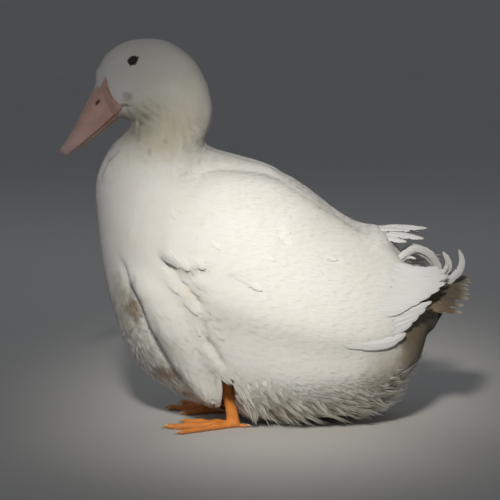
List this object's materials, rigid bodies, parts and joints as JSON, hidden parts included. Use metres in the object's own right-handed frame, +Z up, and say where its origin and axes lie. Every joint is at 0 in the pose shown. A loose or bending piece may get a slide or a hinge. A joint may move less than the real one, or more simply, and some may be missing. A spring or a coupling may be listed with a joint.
{
  "type": "white domestic duck",
  "caption": "Life-size still model of a white domestic drake standing low on its webbed feet, neck drawn in, bill held down, belly feathers on the floor.",
  "frame": {"origin": "on the floor, under the middle of the bird's outer box, on its middle plane", "axes": "+Z up, -Y the way the bird faces, +X its left side; +Y runs from breast to tail"},
  "size_m": [0.2292, 0.4322, 0.4035],
  "materials": {
    "plumage": "soft white feathers with a faint cream tone and brown stains",
    "bill": "satin pale pink skin over horn, with a paler nail",
    "eye": "wet near-black eyeball",
    "leg": "orange scaled skin with a slight sheen"
  },
  "bodies": {
    "root": {"trunk": "plumage", "neck": "plumage", "head": "plumage", "bill_upper": "bill", "bill_lower": "bill", "eye_L": "eye", "eye_R": "eye", "wing_L": "plumage", "wing_R": "plumage", "tail": "plumage", "thigh_L": "plumage", "thigh_R": "plumage", "leg_L": "leg", "leg_R": "leg", "foot_L": "leg", "foot_R": "leg"}
  },
  "joints": []
}
